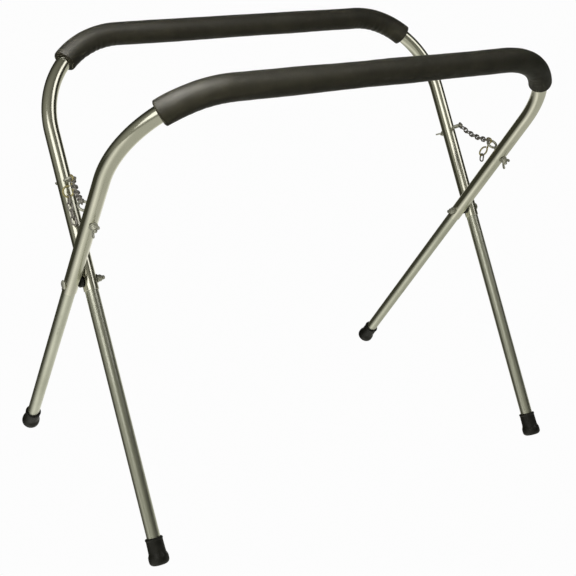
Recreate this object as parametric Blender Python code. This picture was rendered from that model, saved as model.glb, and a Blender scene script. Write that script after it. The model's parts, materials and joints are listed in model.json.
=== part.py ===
"""Folding padded work stand: two bent-tube frames crossed as an X and held open by chains.

Frame of the part: +X runs along the padded bars, the front frame's bar is on the -Y side,
+Z is up, and the origin is on the floor under the pivot axis. Lengths are in metres.

Both tube frames are the same part. The rear one is the front one turned half a turn
about Z, so each frame has an outboard leg, which carries the pivot bolt's head and the
fixed end of a chain, and an inboard leg, which carries a pivot nut and a chain hook.
"""

import math

import bmesh
import bpy
from mathutils import Matrix, Vector

# ---------------------------------------------------------------- driving dimensions
BAR_HEIGHT = 0.850            # centre line of each padded bar above the floor
LEG_LEAN = math.radians(32.7)  # each leg from the vertical, standing open
LEG_SPACING = 0.941           # between the two leg centre lines of one frame
PIVOT_TO_BAR = 0.468          # along a leg, from the pivot axis up to the bar's centre line
CORNER_RADIUS = 0.182         # centre line of the bend from bar to leg
FRAME_STEP = 0.035            # along X, from one frame's leg to the other frame's

UPPER_TUBE_R = 0.0143         # 1 1/8 in tube
UPPER_WALL = 0.0012
LOWER_TUBE_R = 0.0127         # 1 in tube, plugged into the upper one
LOWER_WALL = 0.0013
UPPER_TAIL = 0.020            # upper tube carries on this far below the pivot axis
LOWER_PLUG = 0.060            # lower leg reaches this far up inside the upper tube

PAD_R = 0.0227                # outside of the foam sleeve
PAD_END_ANGLES = {            # how far round each corner bend the foam reaches
    "front": (math.radians(40), math.radians(53)),
    "rear": (math.radians(43), math.radians(43)),
}

FOOT_TOP_R = 0.0162
FOOT_BASE_R = 0.0190
FOOT_LENGTH = 0.050
FOOT_FLOOR = 0.008            # rubber under the end of the leg
FOOT_TILT_LIFT = 0.0057       # middle of a foot's base above the floor

CLEARANCE = 0.0003            # between neighbours that touch on the real stand

PIVOT_SHANK_R = 0.00397       # 5/16 in carriage bolt
PIVOT_HOLE_R = 0.0044
DOME_R = 0.0090
DOME_HEIGHT = 0.0042
PIVOT_TIP = 0.0050            # bolt showing past its nut
SPACER_R = 0.0110
PIVOT_NUT_FLAT = 0.0127       # across flats
PIVOT_NUT_HEIGHT = 0.0066
NUT_COLLAR_R = 0.0054
NUT_COLLAR_HEIGHT = 0.0024
WASHER_THICKNESS = 0.0014

EYE_STATION = 0.185           # eye bolts, along a leg above the pivot axis
EYE_SHANK_R = 0.0030
EYE_HOLE_R = 0.0034
EYE_WIRE_R = 0.0025
EYE_RING_R = 0.0100           # centre line of the eye
EYE_CENTRE = 0.0300           # from the leg's centre line
EYE_TIP = 0.0035              # bolt showing past its wing nut
EYE_WASHER_R = 0.0085
WING_BASE_R = 0.0064
WING_TOP_R = 0.0050
WING_BASE_HEIGHT = 0.0080
WING_SPAN = 0.0290
WING_TOP = 0.0150             # wing tips above the nut's base
WING_THICKNESS = 0.0026
WING_TURNS = {                # where each wing nut was left, from across the stand
    ("front", "left"): math.radians(78),
    ("front", "right"): math.radians(96),
    ("rear", "left"): math.radians(60),
    ("rear", "right"): math.radians(8),
}

CHAIN_WIRE_R = 0.0015
CHAIN_WIDTH = 0.0120          # outside width of a link
CHAIN_LINKS = 10              # between an eye bolt and the hook opposite
CHAIN_SAG = math.radians(12)  # slope of the first and last link
SPARE_LINKS = {"left": 4, "right": 1}

HOOK_WIRE_R = 0.00175
HOOK_RING_R = 0.0100          # centre line of the hanging ring
HOOK_DROP = 0.0240            # from the eye's wire down to the ring's centre
HOOK_TILT = math.radians(12)  # the hook leans on its leg through the spare chain

# ---------------------------------------------------------------- values that follow
PIVOT_HEIGHT = BAR_HEIGHT - PIVOT_TO_BAR * math.cos(LEG_LEAN)
OUTBOARD_X = -LEG_SPACING / 2 - FRAME_STEP / 2   # in a frame's own coordinates
INBOARD_X = LEG_SPACING / 2 - FRAME_STEP / 2
BAR_HALF = LEG_SPACING / 2 - CORNER_RADIUS       # straight half of the bar
FOOT_BASE_Z = -(PIVOT_HEIGHT - FOOT_TILT_LIFT) / math.cos(LEG_LEAN)
LEG_END_Z = FOOT_BASE_Z + FOOT_FLOOR + CLEARANCE
EYE_REACH = EYE_CENTRE + EYE_RING_R              # to the wire the chain pulls on
CHAIN_BEND_R = CHAIN_WIDTH / 2 - CHAIN_WIRE_R    # centre line of a link's round end
HOOK_LOOP_R = EYE_WIRE_R + HOOK_WIRE_R + 2 * CLEARANCE
HOOK_SEAT = EYE_WIRE_R + CHAIN_WIRE_R + CLEARANCE   # eye's wire to the chain's last wire

TUBE_SIDES = 16
BOLT_SIDES = 12
WIRE_SIDES = 8
LINK_SIDES = 6
BEND_STEPS = 10


# ---------------------------------------------------------------- scene and materials
def clear_scene():
    for obj in list(bpy.data.objects):
        bpy.data.objects.remove(obj, do_unlink=True)


def make_material(name, colour, roughness, metallic):
    material = bpy.data.materials.new(name)
    material.use_nodes = True
    shader = material.node_tree.nodes["Principled BSDF"]
    shader.inputs["Base Color"].default_value = (*colour, 1.0)
    shader.inputs["Roughness"].default_value = roughness
    shader.inputs["Metallic"].default_value = metallic
    material.diffuse_color = (*colour, 1.0)
    return material


MATERIALS = {
    "bright_tube": ((0.66, 0.66, 0.60), 0.22, 1.0),
    "satin_tube": ((0.52, 0.53, 0.48), 0.34, 1.0),
    "foam": ((0.030, 0.029, 0.024), 0.85, 0.0),
    "rubber": ((0.016, 0.016, 0.015), 0.60, 0.0),
    "plastic": ((0.030, 0.034, 0.032), 0.50, 0.0),
    "zinc": ((0.50, 0.50, 0.46), 0.38, 1.0),
    "brass": ((0.46, 0.40, 0.20), 0.35, 1.0),
    "chain_zinc": ((0.42, 0.41, 0.38), 0.42, 1.0),
}


def add_object(name, mesh, material, parent=None, matrix=None):
    """Links a named object, placed by matrix under its parent."""
    mesh.shade_smooth()
    mesh.set_sharp_from_angle(angle=math.radians(40))
    obj = bpy.data.objects.new(name, mesh)
    bpy.context.collection.objects.link(obj)
    if not mesh.materials:
        mesh.materials.append(bpy.data.materials[material])
    obj.parent = parent
    if matrix is not None:
        obj.matrix_basis = matrix
    return obj


def add_cutter(target, mesh, matrix, operation="DIFFERENCE"):
    """Adds a hidden helper body and a Boolean that uses it on target."""
    cutter = bpy.data.objects.new(f"{target.name}_{operation.lower()}", mesh)
    bpy.context.collection.objects.link(cutter)
    cutter.parent = target.parent
    cutter.matrix_basis = target.matrix_basis @ matrix
    cutter.hide_render = True
    cutter.display_type = "WIRE"
    modifier = target.modifiers.new(operation.title(), "BOOLEAN")
    modifier.operation = operation
    modifier.solver = "EXACT"
    modifier.object = cutter
    return cutter


# ---------------------------------------------------------------- shape helpers
def circle_points(radius, sides, start=0.0):
    """Corners of a regular polygon, counter-clockwise in the plane of X and Y."""
    points = []
    for i in range(sides):
        angle = start + 2 * math.pi * i / sides
        points.append(Vector((radius * math.cos(angle), radius * math.sin(angle), 0)))
    return points


def hexagon_points(flat, sides):
    """A hexagon's outline as an even number of points, so it bridges to a circle."""
    points = []
    for i in range(sides):
        angle = 2 * math.pi * i / sides
        from_flat = (angle + math.pi / 6) % (math.pi / 3) - math.pi / 6
        radius = flat / 2 / math.cos(from_flat)
        points.append(Vector((radius * math.cos(angle), radius * math.sin(angle), 0)))
    return points


def mesh_from_rings(name, rings, closed_path=False, caps=True):
    """A mesh from equal rings of points; the path's ends are capped, or it is a loop."""
    bm = bmesh.new()
    rows = [[bm.verts.new(point) for point in ring] for ring in rings]
    count = len(rows[0])
    last = len(rows) if closed_path else len(rows) - 1
    for i in range(last):
        here = rows[i]
        there = rows[(i + 1) % len(rows)]
        for j in range(count):
            k = (j + 1) % count
            bm.faces.new((here[j], here[k], there[k], there[j]))
    if caps and not closed_path:
        bm.faces.new(list(reversed(rows[0])))
        bm.faces.new(rows[-1])
    bmesh.ops.recalc_face_normals(bm, faces=bm.faces)
    mesh = bpy.data.meshes.new(name)
    bm.to_mesh(mesh)
    bm.free()
    return mesh


def path_frames(points, closed=False, normal=None):
    """Places along a path that don't twist: (point, tangent, side, other side)."""
    count = len(points)
    steps = [(points[(i + 1) % count] - points[i]).normalized() for i in range(count)]
    tangents = []
    for i in range(count):
        before = steps[i - 1] if closed or i > 0 else steps[0]
        after = steps[i] if closed or i < count - 1 else steps[i - 1]
        tangents.append((before + after).normalized())
    side = normal if normal is not None else tangents[0].orthogonal()
    side = (side - tangents[0] * side.dot(tangents[0])).normalized()
    frames = []
    for i, tangent in enumerate(tangents):
        if i:
            turn = tangents[i - 1].rotation_difference(tangent)
            side = turn @ side
            side = (side - tangent * side.dot(tangent)).normalized()
        frames.append((points[i], tangent, side, tangent.cross(side)))
    return frames


def mitre_stretch(points, i):
    """Widening that keeps a swept tube's true radius where its path turns."""
    if i in (0, len(points) - 1):
        return 1.0
    before = (points[i] - points[i - 1]).normalized()
    after = (points[i + 1] - points[i]).normalized()
    return 1.0 / math.cos(before.angle(after, 0.0) / 2)


def sweep_rings(points, radius, sides, closed=False, normal=None, start=0.0):
    rings = []
    for point, _tangent, side, other in path_frames(points, closed, normal):
        ring = []
        for corner in circle_points(radius, sides, start):
            ring.append(point + side * corner.x + other * corner.y)
        rings.append(ring)
    return rings


def sweep_wire(name, points, radius, sides, closed=False, normal=None):
    rings = sweep_rings(points, radius, sides, closed, normal, math.pi / sides)
    return mesh_from_rings(name, rings, closed_path=closed)


def sweep_tube(name, points, outer, inner, sides):
    """An open-ended tube along a path in the plane of X and Z."""
    outside = []
    inside = []
    for i, (point, _tangent, side, other) in enumerate(path_frames(points, False, Vector((0, 1, 0)))):
        stretch = mitre_stretch(points, i)
        for rings, radius in ((outside, outer), (inside, inner)):
            ring = []
            for corner in circle_points(radius, sides, math.pi / sides):
                ring.append(point + side * corner.x + other * corner.y * stretch)
            rings.append(ring)
    return mesh_from_rings(name, outside + inside[::-1], closed_path=True)


def revolve(name, profile, sides):
    """A solid or a ring about Z from (radius, height) points; no repeated ends.

    A profile that starts and ends on the axis makes a solid, any other makes a ring.
    """
    solid = profile[0][0] == 0.0
    body = profile[1:-1] if solid else profile
    rings = []
    for radius, height in body:
        ring = circle_points(radius, sides, math.pi / sides)
        rings.append([point + Vector((0, 0, height)) for point in ring])
    return mesh_from_rings(name, rings, closed_path=not solid)


def along(axis, origin=Vector((0, 0, 0))):
    """A placement whose Z runs along axis."""
    turn = Vector((0, 0, 1)).rotation_difference(axis).to_matrix().to_4x4()
    return Matrix.Translation(origin) @ turn


def arc_points(centre, radius, first, second, start, stop, steps):
    """Points on an arc, at angles from the direction first towards second."""
    points = []
    for i in range(steps + 1):
        angle = start + (stop - start) * i / steps
        points.append(centre + first * radius * math.cos(angle) + second * radius * math.sin(angle))
    return points


# ---------------------------------------------------------------- tube frames
def corner_bend(direction, reach=math.pi / 2):
    """Corner bend from the bar's end down to an angle; it may stop between two steps."""
    centre = Vector((-FRAME_STEP / 2 + direction * BAR_HALF, 0, PIVOT_TO_BAR - CORNER_RADIUS))
    up = Vector((0, 0, 1))
    outwards = Vector((direction, 0, 0))
    step = math.pi / 2 / BEND_STEPS
    whole = arc_points(centre, CORNER_RADIUS, up, outwards, 0, math.pi / 2, BEND_STEPS)
    full_steps = int(reach / step + 1e-6)
    path = whole[: full_steps + 1]
    left_over = reach / step - full_steps
    if left_over > 1e-6:
        path.append(whole[full_steps].lerp(whole[full_steps + 1], left_over))
    return path


def upper_tube_path():
    path = [Vector((OUTBOARD_X, 0, -UPPER_TAIL))]
    path += corner_bend(-1)[::-1]
    path += corner_bend(1)
    path.append(Vector((INBOARD_X, 0, -UPPER_TAIL)))
    return path


def pad_path(end_angles):
    left, right = end_angles
    return corner_bend(-1, left)[::-1] + corner_bend(1, right)


def hole_cutter(name, radius, length):
    rings = []
    for height in (-length / 2, length / 2):
        ring = circle_points(radius, BOLT_SIDES, math.pi / BOLT_SIDES)
        rings.append([point + Vector((0, 0, height)) for point in ring])
    return mesh_from_rings(name, rings)


def add_upper_tube(prefix, empty):
    mesh = sweep_tube(
        "upper_tube", upper_tube_path(), UPPER_TUBE_R, UPPER_TUBE_R - UPPER_WALL, TUBE_SIDES
    )
    tube = add_object(f"{prefix}_upper_tube", mesh, "bright_tube", empty)
    span = 4 * UPPER_TUBE_R
    for leg_x in (OUTBOARD_X, INBOARD_X):
        pivot = along(Vector((1, 0, 0)), Vector((leg_x, 0, 0)))
        add_cutter(tube, hole_cutter("pivot_hole", PIVOT_HOLE_R, span), pivot)
        eye = along(Vector((0, 1, 0)), Vector((leg_x, 0, EYE_STATION)))
        add_cutter(tube, hole_cutter("eye_hole", EYE_HOLE_R, span), eye)


def add_lower_leg(prefix, side, leg_x, empty):
    path = [Vector((leg_x, 0, height)) for height in (LEG_END_Z, LOWER_PLUG)]
    mesh = sweep_tube("lower_leg", path, LOWER_TUBE_R, LOWER_TUBE_R - LOWER_WALL, TUBE_SIDES)
    leg = add_object(f"{prefix}_{side}_leg", mesh, "satin_tube", empty)
    pivot = along(Vector((1, 0, 0)), Vector((leg_x, 0, 0)))
    add_cutter(leg, hole_cutter("leg_hole", PIVOT_HOLE_R, 4 * LOWER_TUBE_R), pivot)


def add_pad(prefix, empty):
    path = pad_path(PAD_END_ANGLES[prefix])
    mesh = sweep_tube("pad", path, PAD_R, UPPER_TUBE_R + CLEARANCE, TUBE_SIDES)
    add_object(f"{prefix}_pad", mesh, "foam", empty)


def foot_profile():
    """A cup, from the middle of its base round the outside and down into the socket."""
    socket = LOWER_TUBE_R + CLEARANCE
    rounding = 0.0080
    base = FOOT_BASE_Z
    profile = [(0.0, base)]
    for angle in (0, 30, 60, 90):
        turn = math.radians(angle)
        radius = FOOT_BASE_R - rounding * (1 - math.sin(turn))
        profile.append((radius, base + rounding * (1 - math.cos(turn))))
    profile.append((FOOT_BASE_R - 0.0006, base + 0.016))
    profile.append((FOOT_TOP_R, base + 0.022))
    profile.append((FOOT_TOP_R - 0.0004, base + FOOT_LENGTH))
    profile.append((socket, base + FOOT_LENGTH))
    profile.append((socket, base + FOOT_FLOOR))
    profile.append((0.0, base + FOOT_FLOOR))
    return profile


def floor_block():
    """A block under the floor, as wide as a foot needs, in world directions."""
    half = 3 * FOOT_BASE_R
    bm = bmesh.new()
    bmesh.ops.create_cube(bm, size=2 * half)
    bmesh.ops.translate(bm, verts=bm.verts, vec=(0, 0, -half))
    mesh = bpy.data.meshes.new("floor_block")
    bm.to_mesh(mesh)
    bm.free()
    return mesh


def add_foot(prefix, side, leg_x, empty):
    mesh = revolve("foot", foot_profile(), TUBE_SIDES)
    place = Matrix.Translation((leg_x, 0, 0))
    foot = add_object(f"{prefix}_{side}_foot", mesh, "rubber", empty, place)
    # the floor's plane in the foot's own coordinates: a turn by the leg's lean
    floor = Matrix.Translation((0, 0, FOOT_BASE_Z)) @ Matrix.Rotation(-LEG_LEAN, 4, "X")
    drop = Matrix.Translation((0, 0, -FOOT_TILT_LIFT))
    add_cutter(foot, floor_block(), floor @ drop)


# ---------------------------------------------------------------- fasteners
def dome_bolt(length):
    """A carriage bolt: its head's flat side at z = 0, its shank along +Z."""
    profile = [(0.0, -DOME_HEIGHT)]
    for angle in (20, 45, 70, 90):
        turn = math.radians(angle)
        profile.append((DOME_R * math.sin(turn), -DOME_HEIGHT * math.cos(turn)))
    profile.append((PIVOT_SHANK_R, 0.0))
    profile.append((PIVOT_SHANK_R, length - 0.0010))
    profile.append((PIVOT_SHANK_R - 0.0010, length))
    profile.append((0.0, length))
    return revolve("pivot_bolt", profile, BOLT_SIDES)


def lock_nut():
    """A hexagon nut with a round locking collar, standing on z = 0."""
    hole = PIVOT_SHANK_R + CLEARANCE
    top = PIVOT_NUT_HEIGHT + NUT_COLLAR_HEIGHT
    outlines = [
        (circle_points(hole, BOLT_SIDES), 0.0),
        (hexagon_points(PIVOT_NUT_FLAT, BOLT_SIDES), 0.0),
        (hexagon_points(PIVOT_NUT_FLAT, BOLT_SIDES), PIVOT_NUT_HEIGHT),
        (circle_points(NUT_COLLAR_R, BOLT_SIDES), PIVOT_NUT_HEIGHT + 0.0003),
        (circle_points(NUT_COLLAR_R, BOLT_SIDES), top - 0.0006),
        (circle_points(NUT_COLLAR_R - 0.0006, BOLT_SIDES), top),
        (circle_points(hole, BOLT_SIDES), top),
    ]
    rings = [[point + Vector((0, 0, height)) for point in outline] for outline, height in outlines]
    return mesh_from_rings("pivot_nut", rings, closed_path=True)


def washer(name, outer, hole, thickness):
    profile = [(hole, 0.0), (outer, 0.0), (outer, thickness), (hole, thickness)]
    return revolve(name, profile, BOLT_SIDES)


def wing_lobe(direction):
    """One wing: a flat ear in the plane of X and Z, leaning away from the nut."""
    outline = [
        (0.0042, 0.0016),
        (0.0088, 0.0042),
        (WING_SPAN / 2 - 0.0006, WING_TOP - 0.0055),
        (WING_SPAN / 2, WING_TOP - 0.0025),
        (WING_SPAN / 2 - 0.0022, WING_TOP),
        (WING_SPAN / 2 - 0.0052, WING_TOP - 0.0012),
        (0.0070, WING_BASE_HEIGHT - 0.0004),
        (0.0042, WING_BASE_HEIGHT - 0.0012),
    ]
    rings = []
    for y in (-WING_THICKNESS / 2, WING_THICKNESS / 2):
        rings.append([Vector((direction * x, y, z)) for x, z in outline])
    return mesh_from_rings("wing", rings)


def add_wing_nut(name, empty, place):
    hole = EYE_SHANK_R + CLEARANCE
    profile = [
        (hole, 0.0),
        (WING_BASE_R, 0.0),
        (WING_BASE_R, 0.0015),
        (WING_TOP_R, WING_BASE_HEIGHT),
        (hole, WING_BASE_HEIGHT),
    ]
    nut = add_object(name, revolve("wing_nut", profile, BOLT_SIDES), "zinc", empty, place)
    for direction in (-1, 1):
        add_cutter(nut, wing_lobe(direction), Matrix.Identity(4), "UNION")


def add_eye_bolt(name, empty, place):
    """Shank along +Z from the eye's side; the eye lies in the plane of X and Z."""
    tip = -(UPPER_TUBE_R + WASHER_THICKNESS + WING_BASE_HEIGHT + 2 * CLEARANCE + EYE_TIP)
    top = EYE_CENTRE - EYE_RING_R
    profile = [(0.0, tip), (EYE_SHANK_R - 0.0008, tip), (EYE_SHANK_R, tip + 0.0010)]
    profile += [(EYE_SHANK_R, UPPER_TUBE_R), (EYE_WIRE_R, top), (0.0, top)]
    bolt = add_object(name, revolve("eye_shank", profile, BOLT_SIDES), "zinc", empty, place)
    centre = Vector((0, 0, EYE_CENTRE))
    ring = arc_points(centre, EYE_RING_R, Vector((1, 0, 0)), Vector((0, 0, 1)),
                      0, 2 * math.pi * 15 / 16, 15)
    eye = sweep_wire("eye", ring, EYE_WIRE_R, WIRE_SIDES, closed=True, normal=Vector((0, 1, 0)))
    add_cutter(bolt, eye, Matrix.Identity(4), "UNION")


def add_eye_hardware(prefix, side, leg_x, empty):
    """Eye bolt, washer and wing nut; the eye faces the other frame (the frame's +Y)."""
    towards = along(Vector((0, 1, 0)), Vector((leg_x, 0, EYE_STATION)))
    add_eye_bolt(f"{prefix}_{side}_eye_bolt", empty, towards)
    seat = -UPPER_TUBE_R - CLEARANCE
    away = along(Vector((0, -1, 0)), Vector((leg_x, seat, EYE_STATION)))
    flat = washer("eye_washer", EYE_WASHER_R, EYE_SHANK_R + CLEARANCE, WASHER_THICKNESS)
    add_object(f"{prefix}_{side}_eye_washer", flat, "zinc", empty, away)
    on_washer = Vector((leg_x, seat - WASHER_THICKNESS - CLEARANCE, EYE_STATION))
    turn = Matrix.Rotation(WING_TURNS[(prefix, side)], 4, "Z")
    add_wing_nut(
        f"{prefix}_{side}_wing_nut", empty, along(Vector((0, -1, 0)), on_washer) @ turn
    )


def add_pivot_hardware(side, frame):
    """One pivot bolt's parts, from the head outside an outboard leg to the nut."""
    outwards = UPPER_TUBE_R + CLEARANCE
    head = Vector((OUTBOARD_X - outwards, 0, 0))
    nut_seat = OUTBOARD_X + FRAME_STEP + outwards
    length = nut_seat - head.x + WASHER_THICKNESS + PIVOT_NUT_HEIGHT
    length += NUT_COLLAR_HEIGHT + 2 * CLEARANCE + PIVOT_TIP
    axis = Vector((1, 0, 0))
    add_object(f"{side}_pivot_bolt", dome_bolt(length), "zinc", frame, along(axis, head))
    ring = washer("pivot_washer", 0.0085, PIVOT_SHANK_R + CLEARANCE, WASHER_THICKNESS)
    place = along(axis, Vector((nut_seat, 0, 0)))
    add_object(f"{side}_pivot_washer", ring, "zinc", frame, place)
    nut_x = nut_seat + WASHER_THICKNESS + CLEARANCE
    add_object(f"{side}_pivot_nut", lock_nut(), "zinc", frame, along(axis, Vector((nut_x, 0, 0))))
    gap = FRAME_STEP - 2 * outwards
    spacer = washer("spacer", SPACER_R, PIVOT_SHANK_R + CLEARANCE, gap)
    place = along(axis, Vector((OUTBOARD_X + outwards, 0, 0)))
    add_object(f"{side}_pivot_spacer", spacer, "plastic", frame, place)


def add_frame(prefix, half_turn):
    """One bent-tube frame under an empty on the pivot axis; its Z runs up the legs."""
    empty = bpy.data.objects.new(f"{prefix}_frame", None)
    bpy.context.collection.objects.link(empty)
    empty.location = (0, 0, PIVOT_HEIGHT)
    empty.rotation_euler = (LEG_LEAN, 0, half_turn)
    bpy.context.view_layer.update()
    add_upper_tube(prefix, empty)
    add_pad(prefix, empty)
    # the half turn puts the rear frame's outboard leg on the right
    sides = ("left", "right") if half_turn == 0 else ("right", "left")
    for side, leg_x in zip(sides, (OUTBOARD_X, INBOARD_X)):
        add_lower_leg(prefix, side, leg_x, empty)
        add_foot(prefix, side, leg_x, empty)
        add_eye_hardware(prefix, side, leg_x, empty)
    return empty


# ---------------------------------------------------------------- chains
def link_mesh(length):
    """A chain link: its length along X, its width along Y, its middle at the origin."""
    straight = length / 2 - CHAIN_WIDTH / 2
    x = Vector((1, 0, 0))
    y = Vector((0, 1, 0))
    half = math.pi / 2
    path = arc_points(x * straight, CHAIN_BEND_R, x, y, -half, half, 5)
    path += arc_points(-x * straight, CHAIN_BEND_R, -x, -y, -half, half, 5)
    return sweep_wire("chain_link", path, CHAIN_WIRE_R, LINK_SIDES, closed=True, normal=Vector((0, 0, 1)))


def upright_link(i):
    """Links 0, 2, 4 and so on stand in the chain's upright plane, the others lie flat."""
    return i % 2 == 0


def link_grips(i, first_wire):
    """From a link's two contact points to the inside of its ends.

    A contact point is the middle of a flat link's end wire, so a flat link has no grip;
    the first link of a chain grips a thicker wire of that radius instead.
    """
    if not upright_link(i):
        return -CHAIN_WIRE_R, -CHAIN_WIRE_R
    grip = CHAIN_WIRE_R + CLEARANCE
    start = first_wire + CLEARANCE if i == 0 else grip
    return start, grip


def link_reach(i, length, first_wire):
    start, end = link_grips(i, first_wire)
    return length - 4 * CHAIN_WIRE_R - start - end


def chain_contacts(start, end):
    """Contact points of a hanging chain from start to end, and the link length it needs.

    The links turn evenly from sloping down to sloping up. Their length and a common
    tilt are then corrected until the last contact lands on the end.
    """
    span = end - start
    flat_span = math.hypot(span.y, span.z)
    forwards = 1 if span.y > 0 else -1
    length = 0.020
    tilt = 0.0
    for _ in range(30):
        reaches = [link_reach(i, length, EYE_WIRE_R) for i in range(CHAIN_LINKS)]
        total = sum(reaches)
        slim = math.sqrt(1 - (span.x / total) ** 2)
        points = [start.copy()]
        for i, reach in enumerate(reaches):
            slope = tilt + CHAIN_SAG * (2 * (i + 0.5) / CHAIN_LINKS - 1)
            step = Vector((
                span.x * reach / total,
                forwards * reach * slim * math.cos(slope),
                reach * slim * math.sin(slope),
            ))
            points.append(points[-1] + step)
        got = points[-1] - start
        length += (flat_span - math.hypot(got.y, got.z)) / CHAIN_LINKS
        tilt += math.atan2(span.z, flat_span) - math.atan2(got.z, abs(got.y))
    return points, length


def link_place(first, second, i, first_wire):
    """The place of link i between its two contact points; flat links lie along X."""
    down_chain = (second - first).normalized()
    start, end = link_grips(i, first_wire)
    middle = (first + second + down_chain * (end - start)) / 2
    x = Vector((1, 0, 0))
    across = (x - down_chain * x.dot(down_chain)).normalized()
    width = down_chain.cross(across) if upright_link(i) else across
    turn = Matrix((down_chain, width, down_chain.cross(width))).transposed().to_4x4()
    return Matrix.Translation(middle) @ turn


def add_pivot(name, location):
    """An empty on a joint's axis, to carry the pieces that turn about it."""
    pivot = bpy.data.objects.new(name, None)
    bpy.context.collection.objects.link(pivot)
    pivot.location = location
    return pivot


def add_chain(side, start, end):
    """The chain between a fixed eye and the hook opposite. Returns its link length."""
    points, length = chain_contacts(start, end)
    mesh = link_mesh(length)
    for i in range(CHAIN_LINKS):
        pivot = add_pivot(f"{side}_chain_pivot_{i + 1:02d}", points[i])
        place = link_place(points[i], points[i + 1], i, EYE_WIRE_R)
        local = Matrix.Translation(-points[i]) @ place
        add_object(f"{side}_chain_link_{i + 1:02d}", mesh, "chain_zinc", pivot, local)
    return length


def hook_path(chainwards, hang):
    """Centre line of a hook about an eye's wire at the origin, and its ring's lowest point.

    The upper loop is a stadium round the eye's wire and the chain's last wire. The neck
    runs down along hang into one side of a ring, which faces across the stand.
    """
    up = Vector((0, 0, 1))
    x = Vector((1, 0, 0))
    quarter = math.pi / 2
    far = chainwards * (HOOK_SEAT - 0.0006)
    path = arc_points(far, HOOK_LOOP_R, chainwards, up, math.radians(-35), quarter, 5)
    path += arc_points(Vector(), HOOK_LOOP_R, up, -chainwards, 0, quarter, 4)
    path += arc_points(Vector(), HOOK_LOOP_R, -chainwards, -up, 0, math.radians(62), 3)[1:]
    path.append(hang * (HOOK_LOOP_R + 0.0030))
    path.append(hang * (HOOK_LOOP_R + 0.0052))
    centre = hang * HOOK_DROP - x * HOOK_RING_R * math.cos(math.radians(25))
    path += arc_points(
        centre, HOOK_RING_R, x, hang, math.radians(-25), math.radians(292), 15
    )
    return path, centre + hang * HOOK_RING_R


def add_hook(side, eye_wire, chainwards, leg_down, length):
    """The hook that hangs on an eye, and the spare links that hang from its ring."""
    down = Vector((0, 0, -1))
    hang = down * math.cos(HOOK_TILT) + chainwards * math.sin(HOOK_TILT)
    path, ring_bottom = hook_path(chainwards, hang)
    pivot = add_pivot(f"{side}_hook_pivot", eye_wire)
    mesh = sweep_wire("hook", path, HOOK_WIRE_R, WIRE_SIDES)
    add_object(f"{side}_hook", mesh, "brass", pivot)
    link = link_mesh(length)
    contact = ring_bottom
    for i in range(SPARE_LINKS[side]):
        # the first link hangs free, the ones after it lie along the leg
        direction = down if i == 0 else leg_down
        following = contact + direction * link_reach(i, length, HOOK_WIRE_R)
        place = link_place(contact, following, i, HOOK_WIRE_R)
        add_object(f"{side}_spare_link_{i + 1}", link, "chain_zinc", pivot, place)
        contact = following


def eye_wire_point(empty, leg_x):
    """The middle of the wire that the chain or the hook pulls on, in world space."""
    return empty.matrix_world @ Vector((leg_x, EYE_REACH, EYE_STATION))


def add_chain_side(side, fixed_empty, hook_empty):
    """One end of the stand: the chain starts at a fixed eye and ends in a hook."""
    start = eye_wire_point(fixed_empty, OUTBOARD_X)
    hooked = eye_wire_point(hook_empty, INBOARD_X)
    chainwards = Vector((0, math.copysign(1, start.y - hooked.y), 0))
    length = add_chain(side, start, hooked + chainwards * HOOK_SEAT)
    leg_down = -hook_empty.matrix_world.col[2].xyz
    add_hook(side, hooked, chainwards, leg_down, length)


def main():
    clear_scene()
    for name, (colour, roughness, metallic) in MATERIALS.items():
        make_material(name, colour, roughness, metallic)
    front = add_frame("front", 0)
    rear = add_frame("rear", math.pi)
    add_pivot_hardware("left", front)
    add_pivot_hardware("right", rear)
    add_chain_side("left", front, rear)
    add_chain_side("right", rear, front)
    bpy.context.view_layer.update()


main()
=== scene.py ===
"""The finished look of the folding padded work stand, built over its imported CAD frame.

Every piece is made in the frame of the part it belongs to and then rides on that body.
Lengths are in metres. A frame's own axes are: X along the bar, Z up along the legs, and
Y towards the other frame.
"""

import json
import math

import bmesh
import bpy
import numpy as np
from mathutils import Matrix, Vector, noise


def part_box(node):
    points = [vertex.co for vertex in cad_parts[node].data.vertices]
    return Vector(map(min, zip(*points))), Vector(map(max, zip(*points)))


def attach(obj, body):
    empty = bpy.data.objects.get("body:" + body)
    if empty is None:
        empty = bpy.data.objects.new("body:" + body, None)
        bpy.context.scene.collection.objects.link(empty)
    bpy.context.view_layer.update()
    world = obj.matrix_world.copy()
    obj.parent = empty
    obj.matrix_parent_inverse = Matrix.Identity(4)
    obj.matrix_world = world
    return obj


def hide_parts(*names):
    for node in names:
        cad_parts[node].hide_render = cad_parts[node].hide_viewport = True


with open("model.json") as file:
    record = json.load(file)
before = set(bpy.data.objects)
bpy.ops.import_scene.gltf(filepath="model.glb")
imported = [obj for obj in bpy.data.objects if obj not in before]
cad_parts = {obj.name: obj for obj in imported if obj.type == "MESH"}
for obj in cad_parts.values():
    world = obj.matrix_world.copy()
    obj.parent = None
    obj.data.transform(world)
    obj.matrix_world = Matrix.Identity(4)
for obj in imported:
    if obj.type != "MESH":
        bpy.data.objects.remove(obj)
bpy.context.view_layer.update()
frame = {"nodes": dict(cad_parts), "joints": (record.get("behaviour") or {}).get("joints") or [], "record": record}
JOINTS = {joint["name"]: joint for joint in frame["joints"]}

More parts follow.
